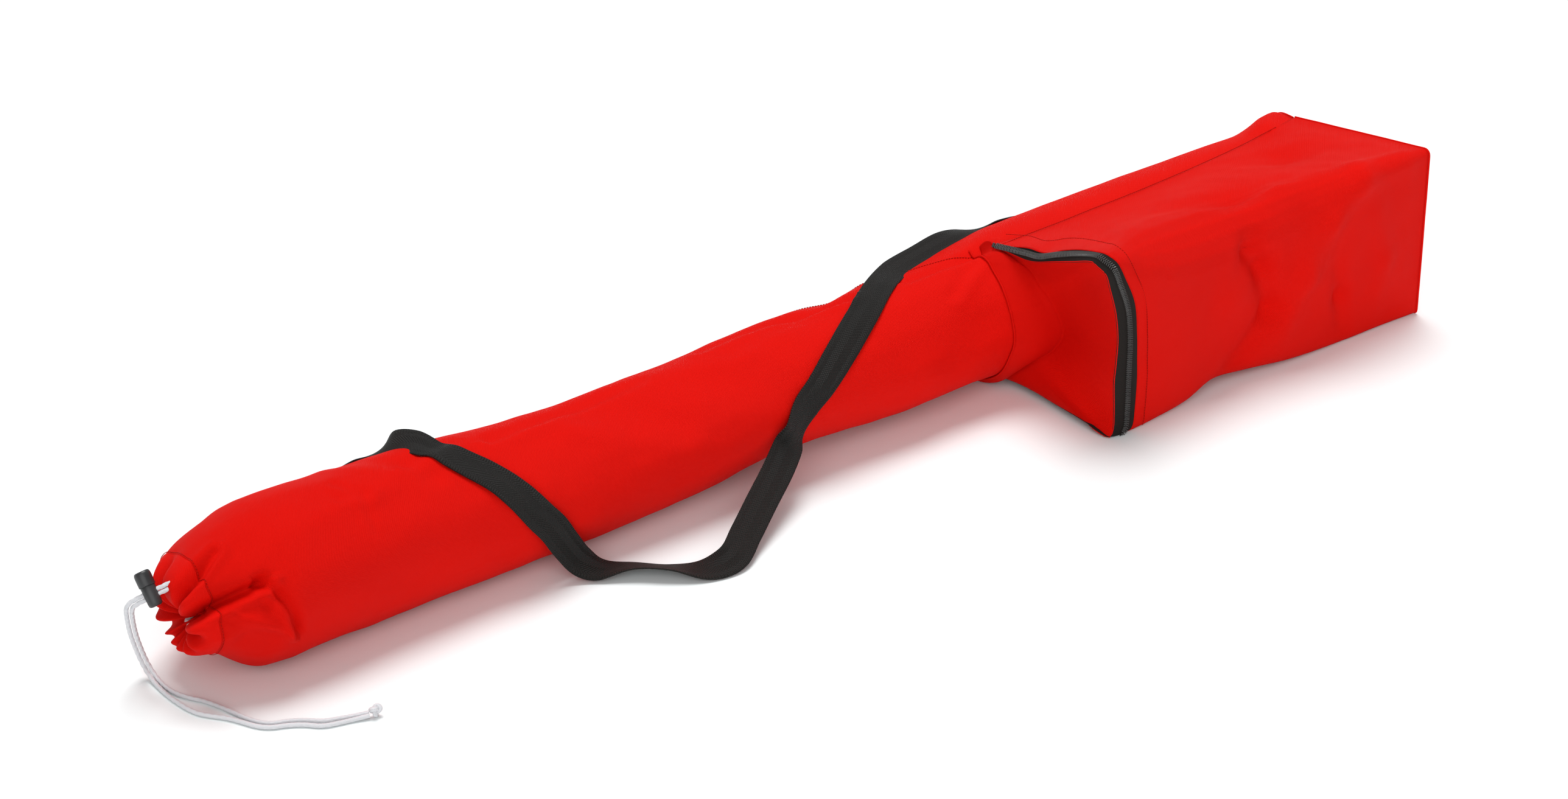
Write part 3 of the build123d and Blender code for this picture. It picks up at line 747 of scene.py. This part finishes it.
def makeBox():
    def place(u, v):
        _, shares = boxOutline(rimX, v)
        corner, sole = shares[0], shares[0] + shares[1]
        if v < corner:
            down = v / corner * boxCloth["topCorner"]
        elif v < sole:
            down = mix(boxCloth["topCorner"], boxCloth["soleCorner"], (v - corner) / (sole - corner))
        else:
            down = mix(boxCloth["soleCorner"], 1.0, (v - sole) / (1.0 - sole))
        edge = rimEdges(down)[1]
        distance = (endX - 0.0005 - edge.x) * (0.8 * u + 0.2 * u * u)
        point = boxPoint(edge.x + distance, v)
        loose = point - boxPoint(edge.x + 0.001, v)
        return mix(edge + loose, point, ease(0.0, 0.055, distance))

    mesh = sheet(*boxCloth["cells"], place, (endX - rimX, boxCloth["round"]),
                 outward=lambda c: Vector((0.0, c.y, c.z - 0.11)))
    piece = finish("box_cloth", mesh, fabric, "bag", ["box_panel"])
    thicken(piece, clothWall)


endCloth = {
    "cells": (180, 30), "spread": (0.15, 0.9),
    # where its middle is, how far it puffs out, and the share of its edge that follows the box
    "middle": (-0.035, 0.105), "puff": 0.0045, "boxShare": 0.72,
}


def endOutline(share):
    # the box section joined round the sleeve's far side
    boxShare = endCloth["boxShare"]
    if share <= boxShare:
        return boxPoint(endX - 0.0005, share / boxShare)
    part = (share - boxShare) / (1.0 - boxShare)
    return sleeveAt(endX - 0.001, mix(-90.0, 76.0, part))


def makeEnd():
    middle = Vector((endX, *endCloth["middle"]))

    def place(u, v):
        point = middle.lerp(endOutline(v), u)
        puff = endCloth["puff"] * (1.0 - u**4) + 0.002 * noise.noise(point * 9.0) * (1.0 - u)
        point.x = endX - 0.0008 + puff * (1.0 - u**8)
        return point

    mesh = sheet(*endCloth["cells"], place, endCloth["spread"], closed=True,
                 outward=lambda c: Vector((1.0, 0.0, 0.0)))
    piece = finish("end_cloth", mesh, fabric, "bag", ["end_panel"])
    thicken(piece, clothWall)


makeBox()
makeEnd()
print("boot box sewn")


flap = {
    "cells": (110, 70), "cloth": (0.22, 0.55),
    # the share of its width between the neck seam and the crease
    "creaseShare": 0.38, "standsRound": 0.008, "ripple": 0.0045, "topLip": 0.0030,
    "lowest": 0.0009,
    # share down the flap, then degrees round the sleeve of the neck seam
    "neck": [(0.00, 88.0), (0.20, 115.0), (0.35, 139.0), (0.45, 159.0), (0.55, 176.0),
             (0.63, 189.0), (0.70, 204.0), (0.80, 223.0), (0.90, 242.0), (1.00, 262.0)],
    "neckX": 0.280,
    # the crease where the cloth turns away from the sleeve
    "crease": [(0.00, 0.299, 0.041, 0.1868), (0.10, 0.306, 0.014, 0.180), (0.20, 0.316, -0.008, 0.168),
               (0.35, 0.322, -0.022, 0.148), (0.45, 0.336, -0.027, 0.127), (0.55, 0.350, -0.028, 0.099),
               (0.63, 0.358, -0.026, 0.075), (0.70, 0.350, -0.015, 0.053), (0.80, 0.322, 0.002, 0.036),
               (0.90, 0.302, 0.014, 0.020), (1.00, 0.292, 0.046, 0.006)],
}


def flapPoint(down, out):
    # down: from the top of the flap to its foot; out: from the neck seam to the zip
    edge = rimEdges(down)[0]
    degrees = curveThrough(flap["neck"], down)[0]
    neck = sleeveAt(mix(flap["neckX"], 0.296, 1.0 - ease(0.0, 0.16, down)), degrees, 0.0014)
    crease = Vector(curveThrough(flap["crease"], down))
    fold = flap["creaseShare"]
    if out < fold:
        point = neck.lerp(crease, out / fold)
    else:
        point = crease.lerp(edge, (out - fold) / (1.0 - fold))
    # round the crease and let the face belly
    point = point.lerp(neck.lerp(edge, 0.5), 0.07 * hump(out, fold, 0.07))
    if out < fold:
        # the cloth keeps the sleeve's roundness before it turns
        roundness = math.sin(math.pi * out / fold)
        middle = Vector((point.x, axisY, 0.094))
        point += (point - middle).normalized() * flap["standsRound"] * roundness
    belly = math.sin(math.pi * min(max((out - fold) / (1.0 - fold), 0.0), 1.0))
    spread = math.sin(math.pi * min(max(down, 0.0), 1.0))
    point.x += belly * spread * (0.003 + 0.007 * math.sin(down * 8.0 - 1.0))
    point.x += flap["ripple"] * noise.noise(point * 13.0) * belly * spread
    point.x += flap["topLip"] * hump(down, 0.14, 0.05) * belly
    point.z = max(point.z, flap["lowest"])
    return point


def makeFlap():
    mesh = sheet(*flap["cells"], lambda u, v: flapPoint(v, u), flap["cloth"],
                 outward=lambda c: Vector((-1.0, -0.2, 0.0)))
    piece = finish("flap_cloth", mesh, fabric, None, ["boot_flap", "flap_gusset"])
    thicken(piece, clothWall)
    return piece


flapPiece = makeFlap()
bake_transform(flapPiece)
print("flap sewn")


zipSet = {
    "tooth": 0.0026, "height": 0.0024, "side": 0.0042, "seam": 0.56, "rise": 0.0016,
    # shares down the rim where the teeth, the tapes and the metal stops are
    "teeth": (0.004, 0.955), "tape": (0.0, 0.985), "stops": (0.002, 0.958),
    "tapeWall": 0.0007, "stopSize": (0.0060, 0.0030, 0.0030), "lowest": 0.0005,
    # the zip turns under the bag past this share
    "underFrom": 0.75,
}


def zipFrame(down, across):
    # a point of the zip's band, the way along it, across it to the box, and outwards
    flapEdge, boxEdge = rimEdges(down)
    ahead = mix(*rimEdges(min(down + 0.003, 1.0)), across)
    behind = mix(*rimEdges(max(down - 0.003, 0.0)), across)
    along = (ahead - behind).normalized()
    way = boxEdge - flapEdge
    way = (way - along * way.dot(along)).normalized()
    outward = way.cross(along).normalized()
    facing = Vector((-0.3, -0.6, 0.35 if down < zipSet["underFrom"] else -1.5))
    if outward.dot(facing) < 0:
        outward = -outward
    point = mix(flapEdge, boxEdge, across)
    bow = math.sin(math.pi * min(max(across, 0.0), 1.0))
    return point + outward * zipSet["rise"] * bow, along, way, outward


def evenShares(start, end, step):
    # shares along the rim that lie an even step apart
    marks, walked, parts = [], 0.0, 1600
    last = zipFrame(start, zipSet["seam"])[0]
    for i in range(1, parts + 1):
        share = mix(start, end, i / parts)
        here = zipFrame(share, zipSet["seam"])[0]
        walked += (here - last).length
        last = here
        if walked >= step:
            marks.append(share)
            walked -= step
    return marks


def makeTape(name, low, high, body, replaces):
    def place(u, v):
        across = mix(low, high, v)
        point, _, _, outward = zipFrame(mix(*zipSet["tape"], u), across)
        under = ease(0.0, 0.12, -across) + ease(0.0, 0.12, across - 1.0)
        return point - outward * (0.0004 + 0.0016 * under)

    mesh = sheet(10, 260, place, (0.6, 0.015), outward=lambda c: Vector((-0.3, -0.6, c.z - 0.1)))
    piece = finish(name, mesh, zipTape, body, replaces)
    thicken(piece, zipSet["tapeWall"])
    return piece


def makeCoil(name, side, body, replaces):
    mesh = blankMesh()
    tooth = (zipSet["side"], zipSet["tooth"] * 0.46, zipSet["height"])
    for down in evenShares(*zipSet["teeth"], zipSet["tooth"]):
        point, along, way, outward = zipFrame(down, zipSet["seam"])
        lean = (way * side + along * 0.28).normalized()
        place = (point + lean * zipSet["side"] * 0.42 + outward * 0.0008
                 + along * zipSet["tooth"] * 0.25 * side)
        made = addBlock(mesh, tooth, (lean, outward.cross(lean), outward), place, 0.0005)
        for vert in made:
            vert.co.z = max(vert.co.z, zipSet["lowest"])
    bmesh.ops.recalc_face_normals(mesh, faces=mesh.faces)
    return finish(name, mesh, zipPlastic, body, replaces, smooth=False)


def makeStops():
    mesh = blankMesh()
    for down in zipSet["stops"]:
        point, _, way, outward = zipFrame(down, zipSet["seam"])
        addBlock(mesh, zipSet["stopSize"], (way, outward.cross(way), outward), point, 0.0006, 2)
    bmesh.ops.recalc_face_normals(mesh, faces=mesh.faces)
    return finish("zip_end_stops", mesh, zipMetal, "bag", ["zip_stops"])


seamShare = zipSet["seam"]
makeTape("zip_tape_box_side", seamShare + 0.01, 1.015, "bag", ["zip_tape_box"])
makeCoil("zip_coil_box_side", 1, "bag", ["zip_coil_box"])
flapTape = makeTape("zip_tape_flap_side", -0.015, seamShare - 0.01, None,
                    ["zip_tape_flap", "zip_tape_gusset"])
flapCoil = makeCoil("zip_coil_flap_side", -1, None, ["zip_coil_flap", "zip_coil_gusset"])
for piece in (flapTape, flapCoil):
    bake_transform(piece)
makeStops()
print("zip sewn in")


strap = {
    "width": 0.038, "thickness": 0.0016, "cells": (10, 420), "standOff": 0.0028,
    "lowest": 0.0012,
    # the edges are finely notched by the weave: depth and spacing
    "notch": (0.00035, 0.0032),
    # x and degrees round the sleeve, standing off it in mm, how far it is turned on edge, and how
    # closely its width follows the cloth
    "mouthLeg": [(-0.600, 8, 1.0, 0.0, 1.0), (-0.574, 22, 1.0, 0.0, 1.0), (-0.550, 36, 1.0, 0.0, 1.0),
                 (-0.536, 49, 3, 0.25, 0.4), (-0.524, 62, 5, 0.50, 0.0), (-0.511, 76, 4, 0.30, 0.0),
                 (-0.498, 93, 3, 0.0, 0.8), (-0.480, 109, 2.5, 0.0, 1.0), (-0.455, 129, 2.5, 0.0, 1.0),
                 (-0.434, 149, 3, 0.0, 0.9), (-0.414, 170, 4, 0.0, 0.5), (-0.400, 183, 6, 0.0, 0.0)],
    "boxLeg": [(-0.058, 186, 8, 0.0, 0.0), (-0.037, 172, 4, 0.0, 0.6), (-0.014, 159, 3, 0.0, 1.0),
               (0.034, 134, 3, 0.0, 1.0), (0.0865, 111, 3, 0.0, 1.0), (0.143, 86, 4, 0.15, 0.4),
               (0.192, 67, 6, 0.35, 0.0), (0.244, 56, 7, 0.45, 0.0), (0.292, 50, 7, 0.50, 0.0),
               (0.335, 44, 5, 0.35, 0.0), (0.375, 36, 1.5, 0.0, 0.8), (0.408, 29, 1.0, 0.0, 1.0),
               (0.438, 22, 1.0, 0.0, 1.0)],
    # middle of the strap beside the bag and the way across it
    "ground": [((-0.384, -0.029, 0.046), (0.88, 0.10, 0.46)),
               ((-0.368, -0.033, 0.022), (0.86, 0.32, 0.38)),
               ((-0.346, -0.042, 0.0085), (0.76, 0.62, 0.02)),
               ((-0.314, -0.062, 0.010), (0.58, 0.73, -0.36)),
               ((-0.284, -0.088, 0.0095), (0.52, 0.74, -0.38)),
               ((-0.250, -0.112, 0.006), (0.20, 0.95, 0.10)),
               ((-0.218, -0.118, 0.0125), (-0.24, 0.88, 0.42)),
               ((-0.184, -0.098, 0.022), (-0.50, 0.76, 0.42)),
               ((-0.142, -0.072, 0.036), (-0.58, 0.72, 0.39)),
               ((-0.098, -0.046, 0.052), (-0.62, 0.66, 0.42)),
               ((-0.072, -0.031, 0.067), (-0.60, 0.52, 0.60))],
}


def strapRows():
    legs = []
    for leg in (strap["mouthLeg"], strap["boxLeg"]):
        middles = [sleeveAt(x, degrees, standOff * 0.001) for x, degrees, standOff, *_ in leg]
        rows = []
        for i, (_, degrees, _, onEdge, hug) in enumerate(leg):
            along = middles[min(i + 1, len(leg) - 1)] - middles[max(i - 1, 0)]
            turn = math.radians(degrees)
            outward = Vector((0.0, math.cos(turn), math.sin(turn)))
            across = mix(outward.cross(along).normalized(), outward, onEdge).normalized()
            rows.append((middles[i], across, hug))
        legs.append(rows)
    ground = [(Vector(middle), Vector(across).normalized(), 0.0) for middle, across in strap["ground"]]
    rows = legs[0] + ground + legs[1]
    even = [rows[0]]
    for middle, across, hug in rows[1:]:
        if across.dot(even[-1][1]) < 0:
            across = across * -1
        even.append((middle, across, hug))
    return even


def onSleeve(point, standOff):
    # the nearest place on the cloth, going straight in towards the sleeve's middle
    a, b, lift = curveThrough(sleeve["stations"], point.x)
    turn = math.atan2((point.z - b - lift) / b, (point.y - axisY) / a)
    return sleeveAt(point.x, math.degrees(turn), standOff)


def makeStrap():
    rows = strapRows()
    walked = distancesAlong([middle for middle, _, _ in rows])
    stops = [(d, *middle, *across, hug) for d, (middle, across, hug) in zip(walked, rows)]
    length = walked[-1]
    half = strap["width"] / 2
    notch, spacing = strap["notch"]

    def place(u, v):
        found = curveThrough(stops, u * length)
        middle, across, hug = Vector(found[:3]), Vector(found[3:6]), min(max(found[6], 0.0), 1.0)
        ahead = Vector(curveThrough(stops, min(u * length + 0.002, length))[:3])
        ahead -= Vector(curveThrough(stops, max(u * length - 0.002, 0.0))[:3])
        ahead.normalize()
        across = (across - ahead * across.dot(ahead)).normalized()
        side = (v - 0.5) * 2.0
        saw = notch * math.sin(u * length * 2 * math.pi / spacing) * ease(0.9, 1.0, abs(side))
        point = middle + across * (side * (half + saw))
        if hug > 0.0:
            point = point.lerp(onSleeve(point, strap["standOff"]), hug)
        point.z = max(point.z, strap["lowest"])
        return point

    mesh = sheet(*strap["cells"], place, (length, strap["width"]))
    piece = finish("shoulder_strap_webbing", mesh, webbing, None, ["shoulder_strap"])
    thicken(piece, strap["thickness"], 0.0)
    return piece


strapPiece = makeStrap()
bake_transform(strapPiece)
print("strap laid")


lockPlace = Vector((-0.861, 0.055, 0.124))
lockAxis = Vector((-0.064, 0.611, 0.788)).normalized()
cordAxis = Vector((-0.8485, 0.3825, -0.3654)).normalized()

cord = {
    "diameter": 0.005, "pitch": 0.0053, "ring": 0.0011, "sides": 18, "lay": 0.0085,
    "inside": 0.027, "outside": 0.019,    # reach of the straight run through the lock
    "tailA": [(-0.881, 0.065, 0.107), (-0.877, 0.073, 0.088), (-0.8715, 0.081, 0.064),
              (-0.865, 0.086, 0.041), (-0.8585, 0.087, 0.018), (-0.8555, 0.075, 0.0044),
              (-0.856, 0.056, 0.0029), (-0.8535, 0.038, 0.0029), (-0.846, 0.021, 0.0029),
              (-0.836, 0.007, 0.0029), (-0.828, -0.012, 0.0029), (-0.8215, -0.032, 0.0029),
              (-0.8155, -0.052, 0.0029), (-0.808, -0.067, 0.0029), (-0.798, -0.077, 0.0029),
              (-0.783, -0.082, 0.0029), (-0.767, -0.092, 0.0029), (-0.753, -0.106, 0.0029),
              (-0.737, -0.1115, 0.0029), (-0.722, -0.117, 0.0029), (-0.7072, -0.124, 0.005)],
    "tailB": [(-0.8853, 0.0695, 0.110), (-0.8815, 0.0775, 0.089), (-0.876, 0.0855, 0.064),
              (-0.8695, 0.0905, 0.041), (-0.863, 0.0915, 0.0175), (-0.861, 0.077, 0.0042),
              (-0.862, 0.055, 0.0029), (-0.8615, 0.035, 0.0029), (-0.8595, 0.018, 0.0029),
              (-0.857, 0.002, 0.0029), (-0.852, -0.013, 0.0029), (-0.842, -0.026, 0.0029),
              (-0.831, -0.039, 0.0029), (-0.8225, -0.055, 0.0029), (-0.814, -0.072, 0.0029),
              (-0.803, -0.0825, 0.0029), (-0.7875, -0.0885, 0.0029), (-0.772, -0.0985, 0.0029),
              (-0.759, -0.113, 0.0029), (-0.742, -0.1185, 0.0029), (-0.724, -0.123, 0.0029),
              (-0.7091, -0.1287, 0.0048)],
}


def smoothRoute(name, points):
    # the line that a NURBS spline draws through the route
    data = bpy.data.curves.new(name, "CURVE")
    data.dimensions = "3D"
    spline = data.splines.new("NURBS")
    spline.points.add(len(points) - 1)
    for point, place in zip(spline.points, points):
        point.co = (*place, 1.0)
    spline.order_u = 3
    spline.use_endpoint_u = True
    spline.resolution_u = 12
    guide = bpy.data.objects.new(name, data)
    bpy.context.scene.collection.objects.link(guide)
    line = bpy.data.meshes.new_from_object(guide)
    found = [vert.co.copy() for vert in line.vertices]
    bpy.data.objects.remove(guide)
    bpy.data.curves.remove(data)
    bpy.data.meshes.remove(line)
    return found


def braidedTube(name, path, radius, body, replaces):
    # even places along the path, then a tube whose surface shows the braid
    walked = distancesAlong(path)
    total = walked[-1]
    count = max(int(total / cord["ring"]), 8)
    even = []
    k = 0
    for i in range(count + 1):
        distance = total * i / count
        while k < len(walked) - 2 and walked[k + 1] < distance:
            k += 1
        share = (distance - walked[k]) / max(walked[k + 1] - walked[k], 1e-9)
        even.append(path[k].lerp(path[k + 1], share))

    def plaited(u, turn):
        # strands that wind both ways, the higher one on top
        wind = total * u * 2 * math.pi / cord["lay"]
        plait = max(math.sin(3 * turn + wind), math.sin(3 * turn - wind))
        return radius * (0.93 + 0.12 * plait)

    size = (total, 2 * math.pi * radius)
    mesh = tube(even, Vector((0.0, 0.0, 1.0)), cord["sides"], size, plaited)
    return finish(name, mesh, braid, body, replaces)


def tailRoute(side, points):
    offset = lockAxis * (cord["pitch"] / 2 * side)
    start = [lockPlace - cordAxis * cord["inside"] + offset,
             lockPlace + cordAxis * cord["outside"] + offset]
    return start + [Vector(point) for point in points]


def makeKnot():
    # an overhand knot: the doubled cord goes once round itself
    low, high = corners("drawcord_knot")
    middle = (low + high) / 2
    size = (high - low).x / 2
    points = []
    for i in range(25):
        turn = i / 24 * 2 * math.pi
        across = Vector((math.sin(turn) + 2 * math.sin(2 * turn), -math.sin(3 * turn) * 1.3,
                         math.cos(turn) - 2 * math.cos(2 * turn)))
        points.append(middle + across * (size * 0.23))
    path = smoothRoute("knot line", points)
    return braidedTube("drawcord_knot_wrap", path, 0.0027, "bag", ["drawcord_knot"])


knot = makeKnot()
for letter, side in (("A", -1), ("B", 1)):
    node = "drawcord_tail_" + letter.lower()
    route = smoothRoute("route " + letter, tailRoute(side, cord["tail" + letter]))
    tail = braidedTube(node + "_braid", route, cord["diameter"] / 2, "bag", [node])
    length = distancesAlong(route)[-1]
    tuple(route[0])
    [tuple(p) for p in route]
print("drawcord laid")


def lockTransform(height):
    matrix = Matrix((cordAxis, lockAxis.cross(cordAxis), lockAxis)).transposed().to_4x4()
    matrix.translation = lockPlace + lockAxis * (height - 0.014)
    return matrix


def turned(name, profile, material, body, replaces, base):
    mesh = blankMesh()
    verts = [mesh.verts.new((radius, 0.0, height)) for radius, height in profile]
    edges = [mesh.edges.new(pair) for pair in zip(verts, verts[1:])]
    bmesh.ops.spin(mesh, geom=verts + edges, cent=(0, 0, 0), axis=(0, 0, 1), angle=2 * math.pi,
                   steps=40, use_merge=True)
    bmesh.ops.remove_doubles(mesh, verts=mesh.verts, dist=1e-6)
    bmesh.ops.recalc_face_normals(mesh, faces=mesh.faces)
    bmesh.ops.transform(mesh, matrix=lockTransform(base), verts=mesh.verts)
    return finish(name, mesh, material, body, replaces)


lockBarrel = [(0.0, 0.0), (0.0045, 0.0), (0.0066, 0.0006), (0.0076, 0.0020), (0.0079, 0.0045),
              (0.0082, 0.0120), (0.0083, 0.0255), (0.0078, 0.0262), (0.0066, 0.0264), (0.0, 0.0264)]
lockHead = [(0.0085, 0.0), (0.0090, -0.0002), (0.0093, 0.0006), (0.0094, 0.0100), (0.0092, 0.0135),
            (0.0084, 0.0158), (0.0070, 0.0166), (0.0052, 0.0160), (0.0030, 0.0150), (0.0, 0.0146)]
headBase = 0.0238
turned("cordlock_body", lockBarrel, lockPlastic, "cordlock", ["cordlock_barrel"],
       0.0)
turned("cordlock_button", lockHead, lockPlastic, "plunger", ["cordlock_plunger"],
       headBase)
print("cord lock made")


def seamRoll(name, path, radius, replaces):
    # a thin rolled seam along a line
    side = (path[1] - path[0]).normalized().orthogonal().normalized()
    mesh = tube(path, side, 8, (0.6, 0.006), lambda u, turn: radius)
    return finish(name, mesh, fabric, "bag", replaces)


stitch = {"step": 0.0036, "size": (0.0024, 0.0007, 0.0007), "lowest": 0.002}


def stitches(name, path):
    # a row of short threads along a line of points
    mesh = blankMesh()
    walked = 0.0
    for a, b in zip(path, path[1:]):
        run = (b - a).length
        while walked < run:
            point = a.lerp(b, walked / run)
            ahead = (b - a).normalized()
            side = ahead.cross(Vector((0.0, -0.5, 0.86))).normalized()
            if point.z > stitch["lowest"]:
                addBlock(mesh, stitch["size"], (ahead, side, ahead.cross(side)), point)
            walked += stitch["step"]
        walked -= run
    bmesh.ops.recalc_face_normals(mesh, faces=mesh.faces)
    return finish(name, mesh, redThread, "bag", ())


seamRoll("end_seam_roll", [endOutline(i / 300) for i in range(301)], 0.0013, ["end_seam_tape"])
neckLine = [sleeveAt(flap["neckX"], mix(88, 270, i / 150), 0.0022) for i in range(151)]
seamRoll("neck_seam_roll", neckLine, 0.0012, ["neck_binding"])
hemLine = [skinPoint(0.093, math.radians(degrees), 0.0018) for degrees in range(0, 361)]
stitches("hem_stitches", hemLine)
loopLine = [skinPoint(0.064, math.radians(degrees), -0.018) + Vector((0.017, 0.0, 0.0))
            for degrees in range(0, 356, 4)]
braidedTube("drawcord_loop_braid", loopLine, 0.0024, "bag", ["drawcord_loop"])
seamLine = [boxPoint(mix(0.300, 0.800, i / 120), 0.006, 0.0016) for i in range(121)]
stitches("top_seam_stitches", seamLine)
backLine = [sleeveAt(mix(-0.010, 0.310, i / 80), mix(47, 101, (i / 80) ** 1.6), 0.0004)
            for i in range(81)]
stitches("sleeve_seam_stitches", backLine)


def besideZip(across, low, high, standOff):
    # a line on the box, that far from the zip's edge
    found = []
    for i in range(201):
        point, _, way, outward = zipFrame(mix(low, high, i / 200), 1.0)
        found.append(point + way * across + outward * standOff)
    return found


stitches("box_zip_stitches", besideZip(0.014, 0.03, 0.765, 0.0006))
print("seams stitched")

keepers = {"zip_slider": zipMetal, "zip_pull": zipMetal,
           "cordlock_spring": springSteel, "strap_anchor_mouth": webbing, "strap_anchor_box": webbing}
for node, material in keepers.items():
    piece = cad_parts[node]
    piece.data.materials.clear()
    piece.data.materials.append(material)
